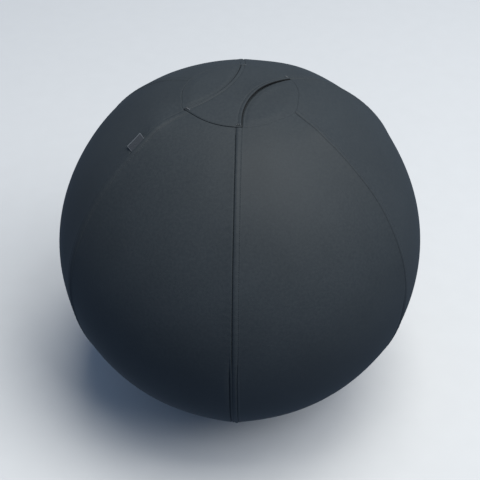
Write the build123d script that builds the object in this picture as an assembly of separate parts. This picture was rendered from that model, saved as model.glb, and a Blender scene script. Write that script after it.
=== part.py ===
"""Sitting ball for a desk: an inflated ball inside a sewn cover of six panels, with a carry handle on top.

Millimetres. +Z is up, the floor is z = 0 and the ball stands on the origin. Azimuth is counted from the
front, -Y, towards +X. Pieces are modelled round the ball's centre and lifted to their place when written.
"""

import os
from math import asin, cos, degrees, radians, sin, sqrt

from build123d import *

# Ball and cover
PANEL_RADIUS = 323.0        # ball centre to the middle of a cover panel, outside
SEAM_RISE = 5.0             # how far the seams stand out past the middle of the panels
COVER_THICKNESS = 1.2
PANEL_NAMES = ["front_right", "right", "back_right", "back_left", "left", "front_left"]
LAP_WIDTH = 10.0            # seam allowance, turned to one side and stitched down
LAP_RISE = 0.8              # how far the stitched-down allowance stands proud
BASE_SINK = 3.0             # how far the ball flattens where it stands
TRIM = 2.0                  # degrees of cloth past each seam, which the seam cuts off
FIT = 0.3                   # running gap between soft layers

# Top cap and carry handle
CAP_DIAMETER = 188.0
CROWN_DROP = 8.0            # how far the handle's pull flattens the crown
HANDLE_WAIST = 50.0         # across the handle at its middle
HANDLE_TURN = 1.5           # degrees that the handle is turned past the seams
HANDLE_EDGE = 3.6           # from the turned seam to the slot, at each corner of the handle
HANDLE_LAYER = 0.9          # each of the handle's two layers, at its middle
HANDLE_END_LAYER = 0.4      # each layer where it is pressed flat into the seam
HANDLE_GAP = 2.4            # hand slot under the middle of the handle

# Side label, a folded woven loop in the seam on the left
LABEL_LENGTH = 30.0
LABEL_WIDTH = 17.0
LABEL_TAPE = 0.45           # thickness of the tape
LABEL_FOLD = 3.6            # height of the loop at its fold
LABEL_ROOT = 0.5            # where the two ends of the tape leave the seam
LABEL_POLAR = 34.0          # degrees from the top to the label's middle

# Inflated inner ball, its valve and its plug
BALL_WALL = 0.9
BALL_CLEAR = 0.8            # over the zip's tapes and slider
VALVE_EDGE = 3.0            # valve boss to the edge of the flattened underside
VALVE_BORE = 9.0
BOSS_DIAMETER = 26.0
BOSS_HEIGHT = 16.0
PLUG_HEAD = 16.0
PLUG_HEAD_THICKNESS = 1.8
PLUG_LENGTH = 19.0
PLUG_RIB_COUNT = 3
PLUG_FIT = 0.05

# Ballast, a sand-filled pouch that keeps the ball from rolling away
POUCH_CLEAR = 6.0           # to the zip's tape
POUCH_CLOTH = 0.8
POUCH_CORNER = 6.0

# Zip round the base panel
ZIP_RADIUS = 110.5          # from the ball's axis to the middle of the teeth
ZIP_LENGTH = 480.0
ZIP_SLOT = 12.0             # between the two cloth edges that the zip closes
TAPE_WIDTH = 10.5
TAPE_THICKNESS = 0.6
TOOTH_PITCH = 5.0
TOOTH_HEIGHT = 2.4
TOOTH_REACH = 1.1           # past the middle of the zip, into the other row
TOOTH_BITE = 1.0            # how far a tooth grips its tape
TOOTH_GAP = 0.3             # between neighbouring teeth of the two rows
TOOTH_TAPER = 0.7           # share of its height that a tooth keeps at its tip
TAPE_EDGE = 2.6             # middle of the zip to the edge of each tape
STOP_LENGTH = 3.0

# Zip slider and its pull
SLIDER_LENGTH = 15.0
SLIDER_PLATE = 1.2
SLIDER_FLANGE = 0.8
SLIDER_GAP = 0.4            # all round the teeth
SLIDER_FLARE = 1.2          # how much wider it is at the front, where the two rows part
NECK_WIDTH = 1.6
NECK_LENGTH = 3.4
BAIL_LENGTH = 6.8
BAIL_WIDTH = 2.2
BAIL_BAR = 0.9
PULL_PIN = 1.4
PULL_PLAY = 0.4             # pin to the bail and to the plate
PULL_WIDTH = 7.0
PULL_LENGTH = 23.0
PULL_THICKNESS = 1.4
PULL_HOLE = 3.2
PULL_HANG = 30.0            # degrees that the pull hangs away from the zip

# Worked out from the sizes above
PANEL_COUNT = len(PANEL_NAMES)
PANEL_ANGLE = 360.0 / PANEL_COUNT
BALL_CENTRE = PANEL_RADIUS - BASE_SINK
FAR = 2.0 * PANEL_RADIUS
SEAM_RADIUS = PANEL_RADIUS + SEAM_RISE
SEAM_HALF_CHORD = SEAM_RADIUS * sin(radians(PANEL_ANGLE / 2))
PANEL_DROP = PANEL_RADIUS - SEAM_RADIUS * cos(radians(PANEL_ANGLE / 2))
CROSS_RADIUS = (SEAM_HALF_CHORD**2 + PANEL_DROP**2) / (2 * PANEL_DROP)

CAP_RIM = CAP_DIAMETER / 2
CAP_POLAR = degrees(asin(CAP_RIM / PANEL_RADIUS))
SLOT_HALF_ANGLE = PANEL_ANGLE - degrees(HANDLE_EDGE / CAP_RIM)
SLOT_CORNER = CAP_RIM * cos(radians(SLOT_HALF_ANGLE))
SLOT_RADIUS = ((HANDLE_WAIST / 2) ** 2 + CAP_RIM**2 - HANDLE_WAIST * SLOT_CORNER) / (2 * SLOT_CORNER - HANDLE_WAIST)
SLOT_CENTRE = HANDLE_WAIST / 2 + SLOT_RADIUS

INNER_RADIUS = PANEL_RADIUS - COVER_THICKNESS - FIT
TAPE_TOP = PANEL_RADIUS - COVER_THICKNESS - FIT / 3
CHAIN_RADIUS = TAPE_TOP - TAPE_THICKNESS / 2
ZIP_POLAR = 180.0 - degrees(asin(ZIP_RADIUS / CHAIN_RADIUS))
ZIP_ARC = degrees(ZIP_LENGTH / ZIP_RADIUS)
TOOTH_WIDTH = TOOTH_PITCH / 2 - TOOTH_GAP
TOOTH_ROOT = TAPE_EDGE + TOOTH_BITE
SLIDER_ARC = degrees(SLIDER_LENGTH / ZIP_RADIUS)
STOP_ARC = degrees(STOP_LENGTH / ZIP_RADIUS)
SLIDER_AZIMUTH = ZIP_ARC / 2 - SLIDER_ARC / 2 - 2 * STOP_ARC
SLIDER_TAIL = 2 * (TOOTH_ROOT + SLIDER_GAP + SLIDER_FLANGE)
SLIDER_FRONT = SLIDER_TAIL + SLIDER_FLARE
CHANNEL = TOOTH_HEIGHT / 2 + SLIDER_GAP
PLATE_TOP = CHANNEL + SLIDER_PLATE
PIN_HEIGHT = PLATE_TOP + PULL_PLAY + PULL_PIN / 2
BAIL_INSIDE = PULL_PIN + 2 * PULL_PLAY
TAPE_SPAN = degrees((TAPE_EDGE + TAPE_WIDTH) / CHAIN_RADIUS)
TAPE_INSIDE = CHAIN_RADIUS - TAPE_THICKNESS / 2
TAPE_LEVEL = BALL_CENTRE + TAPE_INSIDE * cos(radians(ZIP_POLAR - TAPE_SPAN))
PLATE_SPAN = degrees(SLIDER_FRONT / 2 / CHAIN_RADIUS)
PLATE_LEVEL = BALL_CENTRE + (CHAIN_RADIUS - PLATE_TOP) * cos(radians(ZIP_POLAR - PLATE_SPAN))
BALL_LIFT = max(TAPE_LEVEL, PLATE_LEVEL) + BALL_CLEAR
UNDERSIDE_RADIUS = sqrt(INNER_RADIUS**2 - (BALL_CENTRE - BALL_LIFT) ** 2)
VALVE_REACH = UNDERSIDE_RADIUS - BOSS_DIAMETER / 2 - VALVE_EDGE
POUCH_RADIUS = TAPE_INSIDE * sin(radians(ZIP_POLAR + TAPE_SPAN)) - POUCH_CLEAR


def on_ball(radius, polar):
    """Point of the XZ plane at a distance from the ball's centre, polar degrees down from the top."""
    return (radius * sin(radians(polar)), radius * cos(radians(polar)))


def turned(solid, azimuth):
    """A piece made towards +X, turned about the ball's axis to an azimuth."""
    return Rot(0, 0, azimuth - 90) * solid


def along_zip(distance):
    """Degrees of polar angle for a distance across the zip."""
    return degrees(distance / CHAIN_RADIUS)


def ring(inner, outer, polar_from, polar_to, azimuth=0.0, arc=360.0):
    """Part of a round shell between two radii and two polar angles, over an arc of azimuth."""
    middle = (polar_from + polar_to) / 2
    outline = [
        ThreePointArc(on_ball(outer, polar_from), on_ball(outer, middle), on_ball(outer, polar_to)),
        Line(on_ball(outer, polar_to), on_ball(inner, polar_to)),
        ThreePointArc(on_ball(inner, polar_to), on_ball(inner, middle), on_ball(inner, polar_from)),
        Line(on_ball(inner, polar_from), on_ball(outer, polar_from)),
    ]
    solid = revolve(Plane.XZ * make_face(outline), Axis.Z, arc)
    return turned(solid, azimuth)


def panel_skin(rise, drop):
    """The sheet that one panel is cut from, towards +X: arched along the ball and flatter across it."""
    centre = PANEL_RADIUS - CROSS_RADIUS
    half = degrees(asin(SEAM_HALF_CHORD / CROSS_RADIUS)) + TRIM
    outer, inner = CROSS_RADIUS + rise, CROSS_RADIUS - drop
    outer_arc = CenterArc((centre, 0), outer, -half, 2 * half)
    inner_arc = CenterArc((centre, 0), inner, -half, 2 * half)
    outline = [
        outer_arc,
        inner_arc,
        Line(outer_arc @ 0, inner_arc @ 0),
        Line(outer_arc @ 1, inner_arc @ 1),
    ]
    at_the_top = Rot(0, -90, 0) * make_face(outline)
    return revolve(at_the_top, Axis.Y, 180)


def panel_wedge():
    """The room between two seams, from the top cap's rim down to the zip, towards +X."""
    base_polar = ZIP_POLAR - along_zip(ZIP_SLOT / 2)
    top_x, top_z = on_ball(FAR, CAP_POLAR)
    base_x, base_z = on_ball(FAR, base_polar)
    outline = Polyline((0, 0), (top_x, top_z), (FAR, top_z), (FAR, base_z), (base_x, base_z), close=True)
    wedge = revolve(Plane.XZ * make_face(outline), Axis.Z, PANEL_ANGLE)
    return Rot(0, 0, -PANEL_ANGLE / 2) * wedge


def beside_seam(width, past=0.0):
    """A slab beside a panel's left seam plane, inside the panel, starting past the plane."""
    slab = Pos(FAR / 2, past + width / 2, 0) * Box(FAR, width, 2 * FAR)
    return Rot(0, 0, -PANEL_ANGLE / 2) * slab


def cover_panel():
    """One panel of the cover, with its turned seam allowance stitched down along its left edge."""
    wedge = panel_wedge()
    cloth = panel_skin(0, COVER_THICKNESS) & wedge
    lap = panel_skin(LAP_RISE, COVER_THICKNESS / 2) & wedge & beside_seam(LAP_WIDTH)
    return cloth + lap


def on_panel(polar, offset):
    """Point on the outside of the panel towards +X, offset degrees round from its middle."""
    centre = PANEL_RADIUS - CROSS_RADIUS
    across = sin(radians(polar)) * sin(radians(offset))
    reach = centre * sqrt(1 - across**2) + sqrt(CROSS_RADIUS**2 - (centre * across) ** 2)
    level, height = on_ball(reach, polar)
    return Vector(level * cos(radians(offset)), level * sin(radians(offset)), height)


def loop_outline(inset, root, root_height):
    """Section of the label: a loop that is round at its fold and closes to a point at its root."""
    low, high = FIT + inset, FIT + LABEL_FOLD - inset
    fold = LABEL_WIDTH - LABEL_FOLD / 2
    return make_face(
        [
            Line((root, low), (fold, low)),
            ThreePointArc((fold, low), (LABEL_WIDTH - inset, (low + high) / 2), (fold, high)),
            Line((fold, high), (root, low + root_height)),
            Line((root, low + root_height), (root, low)),
        ]
    )


def side_label():
    """Folded loop of woven tape, both ends held in the left seam, standing open over the panel behind it."""
    seam = PANEL_ANGLE / 2
    root = on_panel(LABEL_POLAR, seam)
    edge = on_panel(LABEL_POLAR, seam - degrees(asin(LABEL_WIDTH / root.length / sin(radians(LABEL_POLAR)))))
    upward = on_panel(LABEL_POLAR - TRIM, seam) - on_panel(LABEL_POLAR + TRIM, seam)
    outside = loop_outline(0, LABEL_ROOT, 2 * LABEL_TAPE)
    inside = loop_outline(LABEL_TAPE, LABEL_ROOT + LABEL_FOLD / 2, FIT / 3)
    section = Plane(origin=root, x_dir=edge - root, z_dir=upward) * (outside - inside)
    return extrude(section, LABEL_LENGTH / 2, both=True)


def crown(low_middle, low_end, high_middle, high_end, polar):
    """A round sheet on the flattened crown. Heights are from the round ball, at the middle and at the rim."""
    low_rim = on_ball(PANEL_RADIUS + low_end, polar)
    high_rim = on_ball(PANEL_RADIUS + high_end, polar)
    low_top = (0, PANEL_RADIUS - CROWN_DROP + low_middle)
    high_top = (0, PANEL_RADIUS - CROWN_DROP + high_middle)
    outline = [
        TangentArc(high_top, high_rim, tangent=(1, 0)),
        TangentArc(low_top, low_rim, tangent=(1, 0)),
        Line(high_rim, low_rim),
        Line(low_top, high_top),
    ]
    return revolve(Plane.XZ * make_face(outline), Axis.Z)


def top_cap():
    """Round panel at the top, under the handle."""
    return crown(-COVER_THICKNESS, -COVER_THICKNESS, 0, 0, CAP_POLAR)


def handle_layer(low_middle, low_end, high_middle, high_end):
    """One layer of the handle: a low dome on the cap, cut in from both sides by the hand slots."""
    polar = CAP_POLAR - degrees(FIT / PANEL_RADIUS)
    dome = crown(low_middle, low_end, high_middle, high_end, polar)
    slot = Pos(SLOT_CENTRE, 0, PANEL_RADIUS) * Cylinder(SLOT_RADIUS, PANEL_RADIUS)
    slot_azimuth = PANEL_ANGLE + HANDLE_TURN
    return dome - turned(slot, slot_azimuth) - turned(slot, slot_azimuth + 180)


def handle_lining():
    """Lower layer of the handle, against the hand."""
    return handle_layer(HANDLE_GAP, FIT, HANDLE_GAP + HANDLE_LAYER, FIT + HANDLE_END_LAYER)


def handle_band():
    """Upper layer of the handle."""
    low_middle, low_end = HANDLE_GAP + HANDLE_LAYER, FIT + HANDLE_END_LAYER
    return handle_layer(low_middle, low_end, low_middle + HANDLE_LAYER, low_end + HANDLE_END_LAYER)


def base_panel():
    """Round panel that the ball stands on: flat in the middle, sewn to the cover where the zip ends."""
    edge_polar = ZIP_POLAR + along_zip(ZIP_SLOT / 2)
    inner = PANEL_RADIUS - COVER_THICKNESS
    dish = Sphere(PANEL_RADIUS) - Sphere(inner)
    edge = on_ball(FAR, edge_polar)
    cone = revolve(Plane.XZ * make_face(Polyline((0, 0), edge, (0, edge[1]), close=True)), Axis.Z)
    standing = Pos(0, 0, -BALL_CENTRE + FAR / 2) * Box(2 * FAR, 2 * FAR, FAR)
    foot_radius = sqrt(inner**2 - (BALL_CENTRE - COVER_THICKNESS) ** 2)
    foot = Pos(0, 0, -BALL_CENTRE + COVER_THICKNESS / 2) * Cylinder(foot_radius, COVER_THICKNESS)
    sewn_side = ring(inner, PANEL_RADIUS, 2 * ZIP_POLAR - edge_polar, edge_polar, ZIP_ARC / 2, 360 - ZIP_ARC)
    return (dish & cone & standing) + foot + sewn_side


def ball_form(inset):
    """The inner ball, pressed flat under the handle's crown and over the base, drawn in by inset."""
    rim_x, rim_z = on_ball(PANEL_RADIUS - COVER_THICKNESS, CAP_POLAR)
    rise = PANEL_RADIUS - COVER_THICKNESS - CROWN_DROP - rim_z
    crown_radius = (rim_x**2 + rise**2) / (2 * rise)
    under_crown = Pos(0, 0, rim_z + rise - crown_radius) * Sphere(crown_radius - FIT - inset)
    over_base = Pos(0, 0, BALL_LIFT - BALL_CENTRE + inset + FAR / 2) * Box(FAR, FAR, FAR)
    return Sphere(INNER_RADIUS - inset) & under_crown & over_base


def inner_ball():
    """Blown ball with a flattened underside and a moulded valve boss inside it."""
    floor = BALL_LIFT - BALL_CENTRE
    boss = Cylinder(BOSS_DIAMETER / 2, BOSS_HEIGHT, align=(Align.CENTER, Align.CENTER, Align.MIN))
    bore = Cylinder(VALVE_BORE / 2, BOSS_HEIGHT, align=(Align.CENTER, Align.CENTER, Align.MIN))
    seat_depth = PLUG_HEAD_THICKNESS + PLUG_FIT
    seat = Cylinder(PLUG_HEAD / 2 + FIT, seat_depth, align=(Align.CENTER, Align.CENTER, Align.MIN))
    valve = Pos(0, -VALVE_REACH, floor)
    return ball_form(0) - ball_form(BALL_WALL) + valve * boss - valve * bore - valve * seat


def valve_plug():
    """Push-in plug: a flat head, a stem and gripping ribs, with a lead-in at its tip."""
    up = (Align.CENTER, Align.CENTER, Align.MIN)
    rib_radius = VALVE_BORE / 2 - PLUG_FIT
    stem_radius = rib_radius - FIT
    head = Cylinder(PLUG_HEAD / 2, PLUG_HEAD_THICKNESS, align=up)
    stem = Cylinder(stem_radius, PLUG_LENGTH, align=up)
    stem = chamfer(stem.edges().group_by(Axis.Z)[-1], stem_radius / 3)
    plug = head + stem
    rib_step = (BOSS_HEIGHT - PLUG_HEAD_THICKNESS) / (PLUG_RIB_COUNT + 1)
    for rib in range(1, PLUG_RIB_COUNT + 1):
        height = PLUG_HEAD_THICKNESS + rib * rib_step
        plug += Pos(0, 0, height) * Cylinder(rib_radius, rib_step / 3)
    return Pos(0, -VALVE_REACH, BALL_LIFT - BALL_CENTRE) * plug


def pouch_form(inset):
    """Flat round pad that fills the room between the base panel and the inner ball, drawn in by inset."""
    low = COVER_THICKNESS + FIT + inset - BALL_CENTRE
    high = BALL_LIFT - FIT - inset - BALL_CENTRE
    pad = Cylinder(POUCH_RADIUS - inset, high - low, align=(Align.CENTER, Align.CENTER, Align.MIN))
    corner = POUCH_CORNER - inset
    pad = fillet(pad.edges().group_by(Axis.Z)[-1], corner)
    return (Pos(0, 0, low) * pad) & Sphere(INNER_RADIUS - inset)


def ballast_pouch():
    """Sewn pouch round the sand."""
    return pouch_form(0) - pouch_form(POUCH_CLOTH)


def ballast_sand():
    """Dry sand that fills the pouch."""
    return pouch_form(POUCH_CLOTH + FIT / 3)


def zip_tape(side):
    """Woven tape under one cloth edge. side is -1 on the cover's edge and 1 on the base panel's."""
    polars = sorted((ZIP_POLAR + side * along_zip(TAPE_EDGE), ZIP_POLAR + side * TAPE_SPAN))
    return ring(TAPE_INSIDE, TAPE_TOP, *polars, -ZIP_ARC / 2, ZIP_ARC)


def zip_plane(azimuth):
    """Frame on the zip: x along it, y across it towards the cover, z straight out of the ball."""
    level, height = on_ball(CHAIN_RADIUS, ZIP_POLAR)
    along = (cos(radians(azimuth)), sin(radians(azimuth)), 0)
    outward = Vector(sin(radians(azimuth)), -cos(radians(azimuth)), 0)
    normal = outward * (level / CHAIN_RADIUS) + Vector(0, 0, height / CHAIN_RADIUS)
    return Plane(origin=outward * level + Vector(0, 0, height), x_dir=along, z_dir=normal)


def tape_grip(side, tip, length):
    """A moulded block that grips one tape's edge and reaches in to tip from the middle of the zip."""
    half, slit = TOOTH_HEIGHT / 2, TAPE_THICKNESS / 2 + FIT / 3
    points = [
        (tip, -TOOTH_TAPER * half),
        (tip, TOOTH_TAPER * half),
        (tip + TOOTH_BITE, half),
        (TOOTH_ROOT, half),
        (TOOTH_ROOT, slit),
        (TAPE_EDGE - FIT / 3, slit),
        (TAPE_EDGE - FIT / 3, -slit),
        (TOOTH_ROOT, -slit),
        (TOOTH_ROOT, -half),
        (tip + TOOTH_BITE, -half),
    ]
    outline = Polyline(*[(-side * across, out) for across, out in points], close=True)
    return extrude(Plane.YZ * make_face(outline), length / 2, both=True)


def zip_teeth(side):
    """One row of moulded teeth, from the bottom stop to inside the slider's tail."""
    pitch_angle = degrees(TOOTH_PITCH / ZIP_RADIUS)
    first = -ZIP_ARC / 2 + 2.5 * STOP_ARC
    last = SLIDER_AZIMUTH - degrees(TOOTH_PITCH / 2 / ZIP_RADIUS)
    count = int((last - first) / pitch_angle)
    start = last - count * pitch_angle + (pitch_angle / 2 if side > 0 else 0.0)
    tooth = tape_grip(side, -TOOTH_REACH, TOOTH_WIDTH)
    rows = [zip_plane(start + number * pitch_angle) * tooth for number in range(count)]
    return Compound(children=rows)


def zip_stops():
    """A stop on each tape past the closed slider, and a box that holds both rows at the open end."""
    gap = SLIDER_ARC / 2 + STOP_ARC
    ends = [zip_plane(SLIDER_AZIMUTH + gap) * tape_grip(side, FIT, STOP_LENGTH / 2) for side in (-1, 1)]
    box = tape_grip(-1, 0, STOP_LENGTH) + tape_grip(1, 0, STOP_LENGTH)
    ends.append(zip_plane(-ZIP_ARC / 2 + STOP_ARC) * box)
    return Compound(children=ends)


def slider_outline(margin=0.0):
    """Plan of the slider, wider at the front where the two rows of teeth part."""
    half = SLIDER_LENGTH / 2
    tail, front = SLIDER_TAIL / 2 - margin, SLIDER_FRONT / 2 - margin
    points = [(-half, -tail), (0, -tail), (half, -front), (half, front), (0, tail), (-half, tail)]
    plan = make_face(Polyline(*points, close=True))
    return fillet(plan.vertices(), SLIDER_FLANGE * 1.5) if not margin else plan


def zip_slider():
    """Slider: two plates joined by a neck, flanges that hold the teeth in, and a bail for the pull."""
    frame = zip_plane(SLIDER_AZIMUTH)
    block = frame * extrude(slider_outline(), 2 * PLATE_TOP, both=True)
    channel = frame * extrude(slider_outline(SLIDER_FLANGE), 2 * PLATE_TOP, both=True)
    wide = along_zip(SLIDER_FRONT)
    span = (ZIP_POLAR - wide, ZIP_POLAR + wide, SLIDER_AZIMUTH - SLIDER_ARC, 2 * SLIDER_ARC)
    body = block & ring(CHAIN_RADIUS - PLATE_TOP, CHAIN_RADIUS + PLATE_TOP, *span)
    tooth_room = ring(CHAIN_RADIUS - CHANNEL, CHAIN_RADIUS + CHANNEL, *span)
    slit = TAPE_THICKNESS / 2 + SLIDER_GAP / 2
    tape_room = ring(CHAIN_RADIUS - slit, CHAIN_RADIUS + slit, *span)
    neck_place = Pos(SLIDER_LENGTH / 2 - NECK_LENGTH / 2 - SLIDER_FLANGE, 0, 0)
    neck = frame * (neck_place * Box(NECK_LENGTH, NECK_WIDTH, 2 * CHANNEL + SLIDER_PLATE))
    end_room = frame * Box(2 * SLIDER_LENGTH, SLIDER_TAIL - 2 * SLIDER_FLANGE, 2 * CHANNEL)
    body = body - (tooth_room & channel) - (tooth_room & end_room) - tape_room + neck
    return body + frame * slider_bail()


def slider_bail():
    """Bridge on the slider's outer plate, in the frame of the zip."""
    low, high = CHANNEL + SLIDER_PLATE / 2, PLATE_TOP + BAIL_INSIDE
    outside = Box(BAIL_LENGTH, BAIL_WIDTH, high + BAIL_BAR - low, align=(Align.CENTER, Align.CENTER, Align.MIN))
    outside = fillet(outside.edges().filter_by(Axis.Y).group_by(Axis.Z)[-1], BAIL_BAR)
    window = Box(
        BAIL_LENGTH - 2 * BAIL_BAR, 2 * BAIL_WIDTH, high - low, align=(Align.CENTER, Align.CENTER, Align.MIN)
    )
    feet = Box(BAIL_LENGTH, BAIL_WIDTH, PLATE_TOP - low, align=(Align.CENTER, Align.CENTER, Align.MIN))
    return Pos(0, 0, low) * (outside - window + feet)


def zip_pull():
    """Flat tab that hangs from the bail on its own pin-shaped cross bar."""
    window_width = BAIL_WIDTH + 2 * PULL_PLAY
    window_length = BAIL_LENGTH / 2 + BAIL_INSIDE
    tab = make_face(
        [
            Line((0, -PULL_WIDTH / 2), (PULL_LENGTH - PULL_WIDTH / 2, -PULL_WIDTH / 2)),
            CenterArc((PULL_LENGTH - PULL_WIDTH / 2, 0), PULL_WIDTH / 2, -90, 180),
            Line((PULL_LENGTH - PULL_WIDTH / 2, PULL_WIDTH / 2), (0, PULL_WIDTH / 2)),
            Line((0, PULL_WIDTH / 2), (0, -PULL_WIDTH / 2)),
        ]
    )
    tab -= Pos(window_length / 2, 0) * Rectangle(window_length, window_width)
    tab -= Pos(PULL_LENGTH - PULL_WIDTH / 2, 0) * Circle(PULL_HOLE / 2)
    plate = extrude(tab, PULL_THICKNESS / 2, both=True)
    pin = Rot(90, 0, 0) * Cylinder(PULL_PIN / 2, PULL_WIDTH)
    hanging = Rot(0, 180 + PULL_HANG, 0) * (plate + pin)
    return zip_plane(SLIDER_AZIMUTH) * (Pos(0, 0, PIN_HEIGHT) * hanging)


def write(name, solid):
    """Lifts a piece onto the floor's frame and writes it."""
    export_step(Pos(0, 0, BALL_CENTRE) * solid, os.path.join("parts", name + ".step"))


def main():
    os.makedirs("parts", exist_ok=True)
    panel = cover_panel()
    for number, name in enumerate(PANEL_NAMES):
        write("cover_panel_" + name, turned(panel, (number + 0.5) * PANEL_ANGLE))
    label_panel = PANEL_NAMES.index("left")
    write("side_label", turned(side_label(), (label_panel + 0.5) * PANEL_ANGLE))
    write("top_cap", top_cap())
    write("handle_band", handle_band())
    write("handle_lining", handle_lining())
    write("base_panel", base_panel())
    write("inner_ball", inner_ball())
    write("valve_plug", valve_plug())
    write("ballast_pouch", ballast_pouch())
    write("ballast_sand", ballast_sand())
    for side, edge in ((-1, "cover"), (1, "base")):
        write("zip_tape_" + edge, zip_tape(side))
        write("zip_teeth_" + edge, zip_teeth(side))
    write("zip_stops", zip_stops())
    write("zip_slider", zip_slider())
    write("zip_pull", zip_pull())


main()
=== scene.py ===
"""Dresses the solid sitting ball: sewn cloth cover, carry handle, label, zip and ballast, on a pale studio floor.

Metres. +Z is up and the ball stands on the origin. Azimuth is counted from the front, -Y, towards +X, and polar
angles from straight up.
"""

from math import asin, cos, pi, radians, sin, sqrt

import bmesh
import bpy
import numpy as np
from bpy.props import FloatProperty, FloatVectorProperty, PointerProperty
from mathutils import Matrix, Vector


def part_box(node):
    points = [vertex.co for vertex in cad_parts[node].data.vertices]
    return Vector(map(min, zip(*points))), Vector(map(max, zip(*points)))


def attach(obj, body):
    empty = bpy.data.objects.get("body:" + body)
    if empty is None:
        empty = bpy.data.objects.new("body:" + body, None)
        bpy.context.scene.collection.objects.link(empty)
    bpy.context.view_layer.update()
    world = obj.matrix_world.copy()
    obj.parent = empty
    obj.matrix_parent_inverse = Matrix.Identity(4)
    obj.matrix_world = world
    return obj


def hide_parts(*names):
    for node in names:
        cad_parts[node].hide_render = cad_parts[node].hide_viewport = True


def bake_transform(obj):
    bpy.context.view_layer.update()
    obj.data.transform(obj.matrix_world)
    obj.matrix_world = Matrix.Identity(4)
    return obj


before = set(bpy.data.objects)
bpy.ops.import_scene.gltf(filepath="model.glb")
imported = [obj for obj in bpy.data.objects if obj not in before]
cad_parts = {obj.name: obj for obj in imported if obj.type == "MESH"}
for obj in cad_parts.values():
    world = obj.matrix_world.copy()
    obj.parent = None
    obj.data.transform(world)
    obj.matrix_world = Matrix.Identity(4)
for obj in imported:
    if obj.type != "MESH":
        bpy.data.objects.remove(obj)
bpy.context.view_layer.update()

bl_info = {
    "name": "Sitting ball",
    "version": (1, 0, 0),
    "blender": (4, 5, 0),
    "location": "3D View > Sidebar > Sitting ball",
    "description": "Sews the cover, handle and label of a sitting ball over its solid model",
    "category": "Object",
}

MM = 0.001

# Sizes of the solid model that the cloth is cut to
PANEL_NAMES = ("front_right", "right", "back_right", "back_left", "left", "front_left")
PANEL_ANGLE = radians(60)
PANEL_RADIUS = 323 * MM
SEAM_RISE = 5 * MM
BALL_CENTRE = 320 * MM
CLOTH = 1.2 * MM
FIT = 0.3 * MM
LAP_WIDTH = 10 * MM
RIM = 94 * MM
CROWN_DROP = 8 * MM
HANDLE_WAIST = 50 * MM
HANDLE_TURN = radians(1.5)
HANDLE_EDGE = 3.6 * MM
HANDLE_GAP = 2.4 * MM
HANDLE_LAYER = 0.9 * MM
HANDLE_END_LAYER = 0.4 * MM
LABEL_POLAR = radians(34)
LABEL_TAPE = 0.45 * MM
ZIP_RADIUS = 110.5 * MM
ZIP_LENGTH = 480 * MM
ZIP_SLOT = 12 * MM
TAPE_WIDTH = 10.5 * MM
TAPE_THICKNESS = 0.6 * MM
TAPE_EDGE = 2.6 * MM
POUCH_CLOTH = 0.8 * MM
POUCH_CORNER = 6 * MM

# Worked out from them
HALF_PANEL = PANEL_ANGLE / 2
SEAM_RADIUS = PANEL_RADIUS + SEAM_RISE
RIM_POLAR = asin(RIM / PANEL_RADIUS)
RIM_HEIGHT = PANEL_RADIUS * cos(RIM_POLAR)
SLOT_AZIMUTH = PANEL_ANGLE + HANDLE_TURN
SLOT_HALF_ANGLE = PANEL_ANGLE - HANDLE_EDGE / RIM
SLOT_CORNER = RIM * cos(SLOT_HALF_ANGLE)
SLOT_RADIUS = ((HANDLE_WAIST / 2) ** 2 + RIM**2 - HANDLE_WAIST * SLOT_CORNER) / (2 * SLOT_CORNER - HANDLE_WAIST)
SLOT_CENTRE = HANDLE_WAIST / 2 + SLOT_RADIUS
CROWN = PANEL_RADIUS - CROWN_DROP
TAPE_TOP = PANEL_RADIUS - CLOTH - FIT / 3
CHAIN_RADIUS = TAPE_TOP - TAPE_THICKNESS / 2
ZIP_POLAR = pi - asin(ZIP_RADIUS / CHAIN_RADIUS)
ZIP_ARC = ZIP_LENGTH / ZIP_RADIUS
PANEL_END = ZIP_POLAR - ZIP_SLOT / 2 / CHAIN_RADIUS
BASE_EDGE = ZIP_POLAR + ZIP_SLOT / 2 / CHAIN_RADIUS

# The seams in turn from the front one: its ridge on the ball's shoulder and low down, how open its line is sewn,
# how full its lap is, and how far round the ball it drifts at each of some polar angles
SHOULDER_RIDGES = np.array([1.0, 1.7, 1.8, 0.4, 1.0, 1.8]) * SEAM_RISE
LOW_RIDGES = np.array([1.0, 0.6, 0.6, 1.0, 0.6, 0.6]) * SEAM_RISE
OPENINGS = (1.0, 0.7, 0.4, 0.5, 0.25, 0.25)
LAPS = (1.0, 0.8, 0.5, 0.5, 0.35, 1.0)
DRIFT_POLARS = np.radians([17, 22, 28, 34, 42, 52, 70, 100])
SEAM_DRIFTS = np.radians([
    [-2.1, -1.2, -0.7, -0.5, -0.3, -0.2, -0.1, 0.0],
    [2.2, -1.1, -3.5, -3.3, -2.8, -1.7, -1.2, 0.0],
    [0.0, -0.5, -1.9, -3.4, -4.4, -4.4, -3.2, 0.0],
    [0.0] * 8,
    [0.0] * 8,
    [0.0, -0.3, 0.6, 2.4, 2.1, 2.0, 1.5, 0.0],
])

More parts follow.
